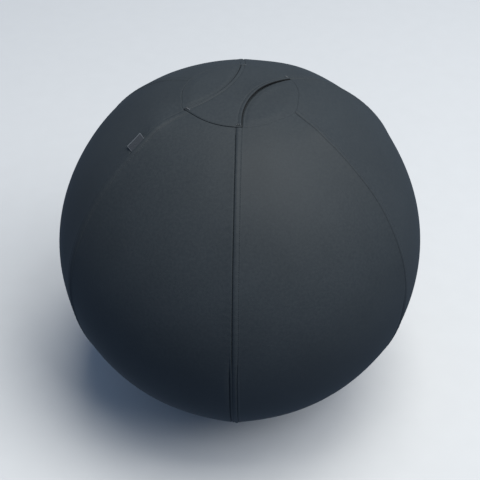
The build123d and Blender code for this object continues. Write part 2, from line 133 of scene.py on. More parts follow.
# How the sewing forms the panels
RIDGE_FALL = 40 * MM
RIDGE_FULL = RIM_POLAR + 0.2  # the ridges rise from the rim to here
RIDGE_CHANGE = np.radians([68, 104])  # and turn from shoulder ridges to low ones between these
RIDGE_FADE = radians(138)  # and sink from here to the zip
FULL_PANEL = PANEL_NAMES.index("back_right")
BULGE = 4 * MM  # spare cloth stands out high on the full panel
BULGE_POLAR = radians(37)
BULGE_LENGTH = radians(13)
BULGE_WIDTH = radians(17)
SEAMS_CLOSER = np.radians([80, 92])  # between these, at the ball's widest, the seams are drawn closer
GATHER_PITCH = 13 * MM
GATHER_BEAT = 61 * MM
GATHER_REACH = 9 * MM
SLACK_WAVE = 370 * MM
SLACK_MARGIN = 60 * MM
SLACK_END = np.radians([85, 105])
HEM_STITCH = 6 * MM
FLAT_ROUNDING = 0.25 * MM  # of the base panel, from its flat to its round part
CRISP_ANGLE = radians(50)  # cloth bent by more than this has a crisp edge

# How it forms the crown
CROWN_TILT = radians(0.5)  # the cover's crown sits this much further back than the ball's own top
TILT_FADE = (0.5, 0.9)  # from no tilt to the whole, by height over reach from the ball's centre
# Where the sewing pulls the cap's rim out of round: azimuth and reach in degrees, millimetres out, degrees round
RIM_PULLS = ((-64, 9, 4.5, -2.4), (62.4, 12, 5.0, 0.0), (120, 22, 3.0, 4.0), (184, 20, 0.0, -2.9))
PULL_DEPTH = radians(14)
EDGE_ROLL = 1.3 * MM
HANDLE_STITCH = 5.6 * MM
SLOT_SHADE_LIP = 1.2 * MM  # the lining shows this far past the band: a dark lip that is painted shade along the hand slot
SHADE_LIP_DROOP = 0.35  # and drops by this share of it
LINING_CLOTH = 0.45 * MM
LAYER_GAP = 0.04 * MM  # from the handle's middle up to its band, and down to its lining
HANDLE_HALVES = ((1, "front"), (-1, "back"))  # the handle is made in two halves, one from its middle to each end
STITCHED_HALF = 75 * MM  # length of a stitch line from the handle's middle to one end
TACK_THREAD = 1.4  # its thickness over that of the sewing thread
TACK_STITCHES = 24
TACK_STEP = 0.3 * MM
TACK_SWING = 1.4 * MM
TACK_FROM_CORNER = 1.6 * MM
TACK_FROM_RIM = 3.4 * MM
LAP_LIFT, STITCH_LIFT, TACK_LIFT = 0.1 * MM, 0.12 * MM, 0.25 * MM  # of a thread's middle over the cloth

# The label, as it is folded and held
LABEL_PANEL = PANEL_NAMES.index("left")
LABEL_SEAM = LABEL_PANEL + 1
LABEL_MIDDLE = LABEL_POLAR - 1.5 * MM / PANEL_RADIUS
LABEL_LENGTH = 27.5 * MM
LABEL_GAPE = 0.22  # it stands this share more open at its lower end than at its upper

# Stage
FLOOR_HALF = 6.0
LAMP_WIDTH = 3.5
LAMP_DISTANCE = 6.0
CAMERA_DISTANCE = 1.6712
CAMERA_AZIMUTH = radians(2.18)
CAMERA_ELEVATION = radians(41.29)
CAMERA_LENS = 68.47
CAMERA_SENSOR = 36.0

WAVE_PERIOD = 2 * pi / 20  # of Blender's wave texture at a scale of 1
DYE_PATCH = 110 * MM


def linear(hex_colour):
    """An sRGB hex colour as linear red, green, blue and alpha."""
    values = [int(hex_colour[i:i + 2], 16) / 255 for i in (1, 3, 5)]
    return tuple(v / 12.92 if v <= 0.04045 else ((v + 0.055) / 1.055) ** 2.4 for v in values) + (1.0,)


def number_property(name, description, value, **kind):
    """A number in the sidebar."""
    return FloatProperty(name=name, description=description, default=value, min=0.0, **kind)


def length_property(name, description, millimetres):
    """A size in the sidebar, given in millimetres and kept in metres."""
    return number_property(name, description, millimetres * MM, precision=5, subtype="DISTANCE", unit="LENGTH")


def colour_property(name, description, hex_colour):
    """A colour in the sidebar."""
    return FloatVectorProperty(
        name=name, description=description, default=linear(hex_colour), size=4, min=0.0, max=1.0,
        subtype="COLOR",
    )


class SittingBallSizes(bpy.types.PropertyGroup):
    """How the cover is sewn."""

    seam_depth: length_property("Seam depth", "How far an open seam sinks between two panels", 1.9)
    seam_width: length_property("Seam width", "Half width of the sunk line along a seam", 0.85)
    lap_rise: length_property("Lap rise", "How far the stitched-down allowance stands proud", 1.0)
    stitch_inset: length_property("Stitch inset", "From a seam to the stitch line beside it", 9.6)
    stitch_dent: length_property("Stitch dent", "How far a stitch line pulls the cloth in", 0.75)
    stitch_pitch: length_property("Stitch pitch", "From one stitch to the next", 3.6)
    stitch_length: length_property("Stitch length", "Thread that shows between two holes", 2.8)
    thread: length_property("Thread", "Thickness of the sewing thread", 0.55)
    slack: length_property("Slack", "Height of the soft waves in the panels", 1.3)
    pucker: length_property("Pucker", "Height of the small gathers beside a seam", 0.16)
    label_fold: length_property("Label fold", "Height of the label's loop at its fold", 3.4)
    label_width: length_property("Label width", "From the seam to the label's fold", 15.8)


class SittingBallColours(bpy.types.PropertyGroup):
    """Colours of the cloths and fittings."""

    cloth_light: colour_property("Cloth, raised yarn", "Lighter yarn of the cover", "#32383D")
    cloth_dark: colour_property("Cloth, sunk yarn", "Darker yarn of the cover", "#292F35")
    # Near black: where the lining shows past the band's edges, it is painted shade along the hand slot
    lining: colour_property("Handle lining", "Underside of the handle", "#0D0F12")
    base: colour_property("Base cloth", "Hard-wearing cloth under the ball", "#2B2F35")
    label: colour_property("Label", "Woven tape of the side label", "#383D44")
    # Lighter yarn along the tape's ends; along the fold the same colour is a painted highlight
    label_edge_and_fold_highlight: colour_property("Label edge", "Lighter yarn along the label's ends and fold", "#565C64")
    thread: colour_property("Thread", "Sewing thread", "#2C3238")
    # Lighter than the sewing thread as painted sheen on the bar tacks
    tack: colour_property("Bar tack", "Thicker thread of the bar tacks", "#4C525A")
    zip_tape: colour_property("Zip tape", "Woven tape of the zip", "#23272C")
    zip_teeth: colour_property("Zip teeth", "Moulded teeth and stops", "#1E2125")
    slider: colour_property("Zip slider", "Painted slider and pull", "#2A2D31")
    vinyl: colour_property("Inner ball", "Blown vinyl", "#7D858C")
    plug: colour_property("Plug", "Moulded valve plug", "#D9DADB")
    pouch: colour_property("Ballast pouch", "Plain weave pouch round the sand", "#8C8F92")
    sand: colour_property("Sand", "Dry quartz sand", "#B9A684")
    floor: colour_property("Floor", "Matt studio floor", "#BCC1C8")


class SittingBallLight(bpy.types.PropertyGroup):
    """Studio light."""

    top_power: number_property("Top", "Wide soft light overhead", 372.0, unit="POWER")
    top: colour_property("Top colour", "Colour of the light overhead", "#FFF8EA")
    side_power: number_property("Side", "Wide soft light, high on the right", 263.0, unit="POWER")
    side: colour_property("Side colour", "Colour of the light on the right", "#FFFBF3")
    sky_strength: number_property("Sky", "Even light from all round", 0.344, subtype="FACTOR")
    sky: colour_property("Sky colour", "Colour of the even light", "#C1DCFF")


def ease(low, high, value):
    """0 up to low, 1 from high on, and smooth between them."""
    share = np.clip((value - low) / (high - low), 0, 1)
    return share * share * (3 - 2 * share)


def dent(distance, width):
    """A smooth dent, 1 at its middle, that is gone about two widths away."""
    return np.exp(-((distance / width) ** 2))


def unit(vectors):
    """The vectors at a length of 1."""
    return vectors / np.linalg.norm(vectors, axis=-1, keepdims=True)


def path_normals(path):
    """Unit normals of a flat path."""
    slope = np.gradient(path, axis=0)
    return unit(np.stack([-slope[:, 1], slope[:, 0]], -1))


def smooth_path(points, samples):
    """A smooth line through points, in cubic pieces of so many samples each."""
    points = np.asarray(points, float)
    ends = np.concatenate([[2 * points[0] - points[1]], points, [2 * points[-1] - points[-2]]])
    t = np.linspace(0, 1, samples, endpoint=False)[:, None]
    out = []
    for p0, p1, p2, p3 in zip(ends, ends[1:], ends[2:], ends[3:]):
        curve = (2 * p0 - 5 * p1 + 4 * p2 - p3) * t**2 + (3 * p1 - p0 - 3 * p2 + p3) * t**3
        out.append(0.5 * (2 * p1 + (p2 - p0) * t + curve))
    return np.concatenate(out + [points[-1:]])


def fine_steps(length, start, start_step, end, end_step, middle):
    """Distances from 0 to length: small steps over start and end, and middle even steps between."""
    head = np.arange(0, start, start_step)
    tail = length - np.arange(0, end, end_step)[::-1]
    return np.concatenate([head, np.linspace(head[-1], tail[0], middle + 1)[1:-1], tail])


def lathe(profile, count):
    """A profile of reach and height, turned round the upright axis in a number of steps."""
    azimuth = np.linspace(0, 2 * pi, count + 1)[:-1]
    reach, height = np.maximum(profile[:, :1], 0), profile[:, 1:]
    return np.stack(np.broadcast_arrays(reach * np.sin(azimuth), -reach * np.cos(azimuth), height), -1)


def direction(azimuth, polar):
    """Unit vectors out of the ball's centre."""
    level = np.sin(polar)
    return np.stack([level * np.sin(azimuth), -level * np.cos(azimuth), np.cos(polar) + 0 * azimuth], axis=-1)


def pulled(azimuth, polar):
    """Where the sewing draws a point of the cover: its corners take the cap's rim out and round with them."""
    below = 1 - ease(RIM_POLAR, RIM_POLAR + PULL_DEPTH, polar)
    share = np.where(polar < RIM_POLAR, (polar / RIM_POLAR) ** 2, below)
    to_azimuth, to_polar = azimuth, polar
    for middle, width, out, about in RIM_PULLS:
        turn = (azimuth - radians(middle) + pi) % (2 * pi) - pi
        near = share * dent(turn, radians(width))
        to_azimuth = to_azimuth + near * radians(about)
        to_polar = to_polar + near * out * MM / RIM_HEIGHT
    return to_azimuth, to_polar


def settled(x, y, z):
    """Points of the cover from the ball's centre, pulled by the sewing; the crown is turned back, as it sits."""
    reach = np.sqrt(x**2 + y**2 + z**2)
    azimuth, polar = pulled(np.arctan2(x, -y), np.arctan2(np.hypot(x, y), z))
    x, y, z = np.moveaxis(reach[..., None] * direction(azimuth, polar), -1, 0)
    turn = CROWN_TILT * ease(*TILT_FADE, z / reach)
    height = z * np.cos(turn) - y * np.sin(turn) + BALL_CENTRE
    return np.stack([x, y * np.cos(turn) + z * np.sin(turn), height], -1)


def on_ball(reach, azimuth, polar):
    """Points at a distance from the ball's centre."""
    points = np.asarray(reach)[..., None] * direction(azimuth, polar)
    return settled(*np.moveaxis(points, -1, 0))


def next_seam(number):
    """The seam on a panel's right; the one on its left has the panel's own number."""
    return (number + 1) % len(PANEL_NAMES)


def from_seams(polar, offset):
    """Distances from a panel's left and right seam, offset round from the panel's middle."""
    level = SEAM_RADIUS * np.sin(polar)
    return level * np.sin(HALF_PANEL + offset), level * np.sin(HALF_PANEL - offset)


DRIFT_LINES = smooth_path(np.column_stack([DRIFT_POLARS, *SEAM_DRIFTS]), 24).T


def panel_azimuth(polar, offset, number):
    """Azimuth of a point of a panel, whose seams don't run quite true."""
    share = 0.5 + offset / PANEL_ANGLE
    seams = number, next_seam(number)
    left, right = (np.interp(polar, DRIFT_LINES[0], DRIFT_LINES[1 + seam]) for seam in seams)
    return (number + 0.5) * PANEL_ANGLE + offset + left * (1 - share) + right * share


def panel_reach(polar, offset, number):
    """Ball centre to the outside of a panel: round, and drawn up to the ridge of the seam on either side."""
    spent = np.exp(-SEAM_RADIUS * np.sin(polar) * sin(PANEL_ANGLE) / RIDGE_FALL)
    rise = ease(RIM_POLAR, RIDGE_FULL, polar) * (1 - ease(RIDGE_FADE, PANEL_END, polar))
    low_down = ease(*RIDGE_CHANGE, polar)
    reach = PANEL_RADIUS
    for seam, distance in zip((number, next_seam(number)), from_seams(polar, offset)):
        ridge = SHOULDER_RIDGES[seam] * (1 - low_down) + LOW_RIDGES[seam] * low_down
        reach = reach + rise * ridge * (np.exp(-distance / RIDGE_FALL) - spent) / (1 - spent)
    if number == FULL_PANEL:
        reach = reach + BULGE * rise * dent(polar - BULGE_POLAR, BULGE_LENGTH) * dent(offset, BULGE_WIDTH)
    return reach


def new_object(name, data):
    """An object in the scene, at the origin."""
    obj = bpy.data.objects.new(name, data)
    bpy.context.scene.collection.objects.link(obj)
    return obj


def sewn_shell(name, outer, inner, layout, material, ring=False):
    """A closed shell of cloth between two grids of points. layout is where each point lies on the flat cloth."""
    rows, columns = outer.shape[:2]
    count = rows * columns
    index = np.arange(count).reshape(rows, columns)
    if ring:
        index = np.concatenate([index, index[:, :1]], axis=1)
    a, b, c, d = index[:-1, :-1], index[1:, :-1], index[1:, 1:], index[:-1, 1:]
    faces = [np.stack([a, b, c, d], -1), np.stack([a, d, c, b], -1) + count]
    borders = [index[0], index[-1, ::-1]]
    if not ring:
        borders += [index[::-1, 0], index[:, -1]]
    for line in borders:
        faces.append(np.stack([line[:-1], line[1:], line[1:] + count, line[:-1] + count], -1))
    points = np.concatenate([outer.reshape(-1, 3), inner.reshape(-1, 3)])
    mesh = bpy.data.meshes.new(name)
    mesh.from_pydata(points.tolist(), [], np.concatenate([f.reshape(-1, 4) for f in faces]).tolist())
    corners = np.zeros(len(mesh.loops), dtype=np.int32)
    mesh.loops.foreach_get("vertex_index", corners)
    flat = np.concatenate([layout.reshape(-1, 2)] * 2)
    mesh.uv_layers.new(name="cloth").data.foreach_set("uv", flat[corners].ravel())
    mesh.materials.append(material)
    # Poles and doubled points are closed; the mesh is smooth, with its turned edges crisp
    work = bmesh.new()
    work.from_mesh(mesh)
    bmesh.ops.remove_doubles(work, verts=work.verts, dist=1e-6)
    bmesh.ops.dissolve_degenerate(work, edges=work.edges, dist=1e-7)
    work.to_mesh(mesh)
    work.free()
    mesh.polygons.foreach_set("use_smooth", [True] * len(mesh.polygons))
    mesh.set_sharp_from_angle(angle=CRISP_ANGLE)
    return new_object(name, mesh)


def ball_shell(name, outside, inside, azimuth, polar, layout, material):
    """A shell of cloth round the ball, between two distances from its centre."""
    outer, inner = on_ball(outside, azimuth, polar), on_ball(inside, azimuth, polar)
    return sewn_shell(name, outer, inner, np.stack(layout, -1), material)


def sewn_on(obj, body, node):
    """The dressed piece moves with a body, if one is given, and stands for its solid, which is hidden."""
    if body:
        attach(obj, body)
    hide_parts(node)


def join_into(obj, other):
    """Puts another object's mesh into obj's, and removes the other object."""
    work = bmesh.new()
    work.from_mesh(obj.data)
    work.from_mesh(other.data)
    work.to_mesh(obj.data)
    work.free()
    spare = other.data
    bpy.data.objects.remove(other)
    bpy.data.meshes.remove(spare)


def add(tree, kind, inputs=None, **settings):
    """Adds a node. settings are its own options; inputs are values or other nodes' outputs for its sockets."""
    node = tree.nodes.new(kind)
    for name, value in settings.items():
        setattr(node, name, value)
    for key, value in (inputs or {}).items():
        if isinstance(value, bpy.types.NodeSocket):
            tree.links.new(value, node.inputs[key])
        else:
            node.inputs[key].default_value = value
    return node


def new_material(name):
    """An empty node material, or the one of that name that is already there, and whether it is new."""
    found = bpy.data.materials.get(name)
    if found:
        return found, False
    material = bpy.data.materials.new(name)
    material.use_nodes = True
    material.node_tree.nodes.clear()
    return material, True


def end_material(tree, colour, patches, tones, grain, roughness, height, bump, shader):
    """Ends a material: colour patched between two tones, uneven gloss from its grain and a bump from its height.
    roughness is its two limits, bump its depth and strength, and shader the values that are the same all over."""
    tone = add(
        tree, "ShaderNodeMapRange",
        {"Value": patches, "From Min": 0.3, "From Max": 0.7, "To Min": tones[0], "To Max": tones[1]},
    )
    dyed = add(
        tree, "ShaderNodeMix", {0: 1.0, 6: colour, 7: tone.outputs[0]}, data_type="RGBA", blend_type="MULTIPLY",
    )
    rough = add(tree, "ShaderNodeMapRange", {"Value": grain, "To Min": roughness[0], "To Max": roughness[1]})
    raised = add(tree, "ShaderNodeBump", {"Height": height, "Distance": bump[0], "Strength": bump[1]})
    patterns = {"Base Color": dyed.outputs[2], "Roughness": rough.outputs[0], "Normal": raised.outputs[0]}
    ended = add(tree, "ShaderNodeBsdfPrincipled", {**patterns, **shader}, name="shader")
    add(tree, "ShaderNodeOutputMaterial", {"Surface": ended.outputs[0]})


def woven_cloth(name, raised, sunk, spacing, fleck, depth, roughness, sheen=0.05, gloss=0.1):
    """Woven cloth: two yarns that cross at a spacing, uneven dye, a soft nap and a bump from the yarns.
    spacing, fleck and depth are in millimetres."""
    material, new = new_material(name)
    if not new:
        return material
    tree = material.node_tree
    layout = add(tree, "ShaderNodeUVMap", uv_map="cloth", name="flat cloth").outputs["UV"]
    place = add(tree, "ShaderNodeTexCoord").outputs["Object"]
    bands = WAVE_PERIOD / (spacing * MM)
    warp, weft = (
        add(tree, "ShaderNodeTexWave", {"Vector": layout, "Scale": bands}, bands_direction=way).outputs["Fac"]
        for way in "XY"
    )
    flecks, dye = (
        add(tree, "ShaderNodeTexNoise", {"Vector": place, "Scale": 1 / size, "Detail": detail}).outputs["Fac"]
        for size, detail in ((fleck * MM, 3.0), (DYE_PATCH, 2.0))
    )
    weave = add(tree, "ShaderNodeMath", {0: warp, 1: weft}, operation="MAXIMUM")
    yarn = add(tree, "ShaderNodeMath", {0: weave.outputs[0], 1: flecks}, operation="MULTIPLY").outputs[0]
    share = add(tree, "ShaderNodeMapRange", {"Value": yarn, "From Min": 0.15, "From Max": 0.65})
    colour = add(tree, "ShaderNodeMix", {0: share.outputs[0], 6: sunk, 7: raised}, data_type="RGBA")
    end_material(
        tree, colour.outputs[2], dye, (0.94, 1.05), flecks, (roughness - 0.06, roughness + 0.06), yarn,
        (depth * MM, 0.6), {"Specular IOR Level": gloss, "Sheen Weight": sheen, "Sheen Roughness": 0.45},
    )
    return material


def cover_cloth(colours):
    """Close-woven polyester stretch cloth: dark, with a faint two-tone yarn and a broad soft gloss.
    Its yarns lie 0.8 mm apart; they are drawn twice as coarse, so that they show."""
    return woven_cloth(
        "close-woven polyester", colours.cloth_light, colours.cloth_dark,
        spacing=1.6, fleck=4, depth=0.12, roughness=0.6, sheen=0.0, gloss=0.125,
    )


def lining_cloth(colours):
    """Plain polyester lining: thin, smooth and near black, far darker than the cover; its lip past the band is
    painted shade along the hand slot.
    """
    return woven_cloth(
        "polyester lining", colours.lining, colours.lining, spacing=1.2, fleck=3, depth=0.06, roughness=0.75,
    )


def base_cloth(colours):
    """Coarse nylon canvas under the ball: thick yarns, hard wearing and slightly shiny."""
    return woven_cloth(
        "nylon canvas", colours.base, colours.zip_tape, spacing=2.2, fleck=3, depth=0.25, roughness=0.7,
    )


def zip_tape_cloth(colours):
    """Woven polyester zip tape: close ribs along the zip."""
    return woven_cloth(
        "woven zip tape", colours.zip_tape, colours.zip_teeth, spacing=1.1, fleck=2, depth=0.12, roughness=0.7,
    )


def pouch_cloth(colours):
    """Plain weave pouch cloth: tight, pale and dusty."""
    return woven_cloth(
        "plain weave pouch", colours.pouch, colours.vinyl,
        spacing=1.4, fleck=3, depth=0.12, roughness=0.85, sheen=0.1,
    )


def label_tape(colours, fold_at):
    """Satin woven label tape: fine smooth yarns with a soft shine, a lighter yarn along its ends, and a painted
    highlight in that colour along its fold.
    """
    material = woven_cloth(
        "satin tape", colours.label, colours.base, spacing=1.0, fleck=2, depth=0.06, roughness=0.55, sheen=0.1,
    )
    tree = material.node_tree
    if "edge yarn and fold highlight" in tree.nodes:
        return material
    base_colour = tree.nodes["shader"].inputs["Base Color"]
    plain = base_colour.links[0].from_socket
    place = add(tree, "ShaderNodeSeparateXYZ", {0: tree.nodes["flat cloth"].outputs["UV"]})
    along = add(tree, "ShaderNodeMath", {0: place.outputs[1]}, operation="ABSOLUTE")
    # A lighter band along the tape's ends is its edge yarn; the one along the fold is a painted highlight
    fold, ends = (
        add(tree, "ShaderNodeMath", {0: value, 1: line, 2: half_width}, operation="COMPARE").outputs[0]
        for value, line, half_width in (
            (place.outputs[0], fold_at, 0.8 * MM), (along.outputs[0], LABEL_LENGTH / 2, 0.6 * MM),
        )
    )
    edges = add(tree, "ShaderNodeMath", {0: fold, 1: ends}, operation="MAXIMUM")
    yarn = add(
        tree, "ShaderNodeMix", {0: edges.outputs[0], 6: plain, 7: colours.label_edge_and_fold_highlight},
        data_type="RGBA", name="edge yarn and fold highlight",
    )
    tree.links.new(yarn.outputs[2], base_colour)
    return material


def moulded(name, colour, grain, depth, roughness, metallic=0.0, coat=0.0, mottle=0.13):
    """A moulded, cast or spun finish: one colour with fine mottling, uneven gloss and a grain in the surface.
    grain and depth are in millimetres."""
    material, new = new_material(name)
    if not new:
        return material
    tree = material.node_tree
    place = add(tree, "ShaderNodeTexCoord").outputs["Object"]
    grit, wear = (
        add(tree, "ShaderNodeTexNoise", {"Vector": place, "Scale": 1 / size, "Detail": detail}).outputs["Fac"]
        for size, detail in ((grain * MM, 4.0), (12 * grain * MM, 2.0))
    )
    end_material(
        tree, colour, wear, (1 - mottle, 1 + mottle), grit, (roughness - 0.1, roughness + 0.1), grit,
        (depth * MM, 0.5), {"Metallic": metallic, "Coat Weight": coat},
    )
    return material


def paint_node(node, material):
    """Gives a solid that stays in sight its finish."""
    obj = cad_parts[node]
    for place in obj.material_slots:
        place.material = material
    if not obj.material_slots:
        obj.data.materials.append(material)


def rim_groove(turn, from_rim):
    """Depth of the line round the cap's rim, turned from a slot's middle: even, but deeper at its corners."""
    turn = np.abs((turn + pi / 2) % pi - pi / 2)
    corner = dent(turn - SLOT_HALF_ANGLE - 0.05, 0.06)
    depth, width = (0.65 + 0.3 * corner) * MM, (0.7 + 0.4 * corner) * MM
    return depth * dent(from_rim, width)


def hem(from_edge):
    """How far a hem beside the zip stands off: doubled cloth, turned in at its edge and pulled in by stitches."""
    doubled = 0.4 * MM * (1 - ease(7.5 * MM, 9 * MM, from_edge))
    return doubled - 0.9 * MM * dent(from_edge, 0.8 * MM) - 0.35 * MM * dent(from_edge - HEM_STITCH, 0.8 * MM)


def stitch_inset(sizes, low_down):
    """From a seam to the stitch line beside it, which comes nearer low down."""
    return sizes.stitch_inset - 2 * MM * low_down


def seam_opening(seam, along):
    """How open a seam's line is: evenly, but filled by the label in it and pulled apart at the label's ends."""
    if seam != LABEL_SEAM:
        return OPENINGS[seam]
    past_end = np.abs(along - LABEL_MIDDLE * PANEL_RADIUS) - LABEL_LENGTH / 2
    return OPENINGS[seam] * ease(-2 * MM, 0, past_end) + 1.1 * dent(past_end - 1 * MM, 2.5 * MM)


def panel_relief(sizes, polar, offset, number):
    """How far a panel's cloth stands off its round form: sunk seams, stitched lap, hems, gathers and slack."""
    left, right = from_seams(polar, offset)
    along = PANEL_RADIUS * polar
    low_down = ease(*SEAMS_CLOSER, polar)
    # The seams' own lines
    open_left, open_right = seam_opening(number, along), seam_opening(next_seam(number), along)
    sunk = open_left * dent(left, sizes.seam_width) + open_right * dent(right, sizes.seam_width)
    relief = -sizes.seam_depth * (1 - 0.45 * low_down) * sunk
    # The lap: full beside its seam, flatter towards its stitches, gone past its width
    lap = ease(0.3 * MM, 4.5 * MM, left) * (1 - 0.55 * ease(5.5 * MM, 9.6 * MM, left))
    relief += sizes.lap_rise * LAPS[number] * lap * (1 - ease(LAP_WIDTH + 0.2 * MM, LAP_WIDTH + 1.8 * MM, left))
    # Its stitch line, and low down a tuck beside the other seam
    stitched = dent(left - stitch_inset(sizes, low_down), 0.75 * MM)
    relief -= sizes.stitch_dent * (1 + 0.8 * low_down) * (0.4 + 0.6 * open_left) * stitched
    relief -= 2.2 * MM * low_down * open_right * dent(right - 4.2 * MM, 1.0 * MM)
    # The line of the cap's rim, and the hem along the zip
    relief -= rim_groove(panel_azimuth(polar, offset, number) - SLOT_AZIMUTH, along - PANEL_RADIUS * RIM_POLAR)
    relief += hem(PANEL_RADIUS * PANEL_END - along)
    # Gathers beside the seams, in an uneven beat
    beat = np.sin(2 * pi * along / GATHER_PITCH + 1.7 * number + 1.4 * np.sin(along / GATHER_BEAT + number))
    relief += sizes.pucker * beat * sum(np.exp(-d / GATHER_REACH) * ease(0, 4 * MM, d) for d in (left, right))
    # Slack between the seams, down to the ball's middle
    wave = np.sin(2 * pi * along / SLACK_WAVE + 2.1 * number + 2.5 * offset)
    wave = wave * np.cos(2.2 * offset + 0.9 * number)
    slack = sizes.slack * (1 - ease(*SLACK_END, polar))
    return relief + slack * (0.5 + 0.5 * wave) * ease(0, SLACK_MARGIN, left) * ease(0, SLACK_MARGIN, right)


def panel_outside(sizes, polar, offset, number):
    """Ball centre to the outside of a panel's cloth, which stays over the inner ball."""
    reach = panel_reach(polar, offset, number) + panel_relief(sizes, polar, offset, number)
    return np.maximum(reach, PANEL_RADIUS - CLOTH)


def panel_sample(polar, columns):
    """Offsets across a panel at each polar angle: close beside both seams, even between them."""
    level = (SEAM_RADIUS * np.sin(polar))[:, None]
    left = -HALF_PANEL + np.arcsin(np.arange(0, 13, 0.45) * MM / level)
    right = HALF_PANEL - np.arcsin(np.arange(0, 6.5, 0.5)[::-1] * MM / level)
    share = np.linspace(0, 1, columns + 2)[None, 1:-1]
    middle = left[:, -1:] * (1 - share) + right[:, :1] * share
    return np.concatenate([left, middle, right], axis=1)


class SITTINGBALL_OT_cover_panels(bpy.types.Operator):
    """Sews the six cover panels, with sunk seams and stitched-down laps"""

    bl_idname = "sitting_ball.cover_panels"
    bl_label = "Cover panels"

    def execute(self, context):
        sizes, cloth = context.scene.sitting_ball_sizes, cover_cloth(context.scene.sitting_ball_colours)
        length = PANEL_RADIUS * (PANEL_END - RIM_POLAR)
        down = fine_steps(length, start=7 * MM, start_step=0.5 * MM, end=11 * MM, end_step=0.6 * MM, middle=300)
        polar = RIM_POLAR + down / PANEL_RADIUS
        offset = panel_sample(polar, 36)
        polar = np.broadcast_to(polar[:, None], offset.shape)
        layout = PANEL_RADIUS * np.sin(polar) * offset, PANEL_RADIUS * polar
        for number, name in enumerate(PANEL_NAMES):
            outside = panel_outside(sizes, polar, offset, number)
            azimuth = panel_azimuth(polar, offset, number)
            obj = ball_shell("sewn_panel_" + name, outside, outside - CLOTH, azimuth, polar, layout, cloth)
            sewn_on(obj, "ball", "cover_panel_" + name)
        return {"FINISHED"}


def handle_frame(along, across):
    """Plan of a point on the crown: along the handle and across it, towards the slot on the right."""
    x = -along * cos(SLOT_AZIMUTH) + across * sin(SLOT_AZIMUTH)
    y = -along * sin(SLOT_AZIMUTH) - across * cos(SLOT_AZIMUTH)
    return x, y


def crown_points(along, across, height):
    """Points of the crown from plan and height over the ball's centre."""
    return settled(*handle_frame(along, across), height)


def crown_shell(name, along, across, top, bottom, material):
    """A shell of cloth on the crown, between two heights over the ball's centre."""
    outer, inner = crown_points(along, across, top), crown_points(along, across, bottom)
    return sewn_shell(name, outer, inner, np.stack([along, across], -1), material)


def dome(reach, apex, rim):
    """Height over the ball's centre of a low dome with a given apex and rim height."""
    rise = apex - rim
    curve = (RIM**2 + rise**2) / (2 * rise)
    return apex - curve + np.sqrt(curve**2 - reach**2)


def inside_slot_edge(along, across):
    """How far a point of the handle lies inside its nearer edge; less than 0 in the lens beside it."""
    return np.hypot(along, SLOT_CENTRE - np.abs(across)) - SLOT_RADIUS


def raised_side(along, across):
    """1 along the back half of the right slot, where handle and cap stand up together, and less all round it."""
    from_rim = np.maximum(RIM - np.hypot(along, across), 0)
    return ease(-5 * MM, 15 * MM, across) * dent(along + 25 * MM, 40 * MM) * ease(0, 15 * MM, from_rim)


class SITTINGBALL_OT_top_cap(bpy.types.Operator):
    """Sews the round cap, drawn in under the handle and full in the lens on each side of it"""

    bl_idname = "sitting_ball.top_cap"
    bl_label = "Top cap"

    def execute(self, context):
        turn = np.linspace(-pi / 2, pi / 2, 181)[:, None]
        rim = RIM - 0.05 * MM
        along = rim * np.sin(turn)
        half = np.maximum(rim * np.cos(turn), 0)
        edge = np.minimum(SLOT_CENTRE - np.sqrt(np.maximum(SLOT_RADIUS**2 - along**2, 0)), half)
        lens = (1 - np.cos(np.linspace(0, pi, 45))) / 2
        band = np.linspace(-1, 1, 31)[1:-1]
        left, right = -(half + (edge - half) * lens), edge + (half - edge) * lens
        across = np.concatenate([left, edge * band, right], axis=1)
        along = np.broadcast_to(along, across.shape)
        reach = np.minimum(np.hypot(along, across), rim)
        from_rim = RIM - reach
        out_of_slot = -inside_slot_edge(along, across)
        full = ease(1.5 * MM, 12 * MM, out_of_slot) * ease(0, 16 * MM, from_rim)
        lip = dent(out_of_slot - 3.4 * MM, 1.4 * MM) * ease(0, 8 * MM, from_rim)
        valley = dent(out_of_slot - 0.4 * MM, 1.8 * MM) * ease(0, 2 * MM, from_rim)
        raised = raised_side(along, across) * dent(out_of_slot - 5 * MM, 9 * MM)
        height = dome(reach, CROWN, RIM_HEIGHT) + (1.6 * full + 0.6 * lip - 0.7 * valley + 2.0 * raised) * MM
        height = height - rim_groove(np.arctan2(along, np.abs(across)), from_rim)
        cloth = cover_cloth(context.scene.sitting_ball_colours)
        obj = crown_shell("sewn_top_cap", along, across, height, height - CLOTH, cloth)
        sewn_on(obj, "ball", "top_cap")
        return {"FINISHED"}


def band_height(along, across):
    """Middle and half thickness of the handle: rolled edges, pulled-in stitch lines and pressed ends."""
    reach = np.minimum(np.hypot(along, across), RIM)
    from_rim = RIM - reach
    inside = np.maximum(inside_slot_edge(along, across), 0)
    roll = np.sqrt(np.maximum(1 - (1 - np.minimum(inside / EDGE_ROLL, 1)) ** 2, 0))
    pressed = HANDLE_END_LAYER + (HANDLE_LAYER - HANDLE_END_LAYER) * ease(0, 6 * MM, from_rim)
    stitched = dent(inside - HANDLE_STITCH, 1.0 * MM) * ease(4.5 * MM, 7.5 * MM, from_rim)
    bead = 0.5 * MM * dent(inside - 1.7 * MM, 1.0 * MM) * ease(0, 5 * MM, from_rim)
    half = roll * (pressed * (1 - 0.38 * stitched) + bead)
    # The stitch lines pull the middle in, and so does a tuck beside each corner
    from_corner = RIM * (np.arctan2(np.abs(along), np.abs(across)) - SLOT_HALF_ANGLE)
    tucked = stitched * (1 - 0.4 * ease(2 * MM, 15 * MM, from_rim))
    tucked = tucked + 0.8 * dent(from_corner - 10.5 * MM, 0.8 * MM) * (1 - ease(3 * MM, 11 * MM, from_rim))
    sunk_end = 0.5 * dent(from_rim, 0.9 * MM) - 0.3 * dent(from_rim - 2.2 * MM, 1.0 * MM)
    middle = dome(reach, CROWN + HANDLE_GAP + HANDLE_LAYER, RIM_HEIGHT + FIT + HANDLE_END_LAYER)
    middle = middle - (sunk_end + 0.5 * tucked) * MM
    return middle + 2.5 * MM * raised_side(along, across) * dent(inside, 14 * MM), half


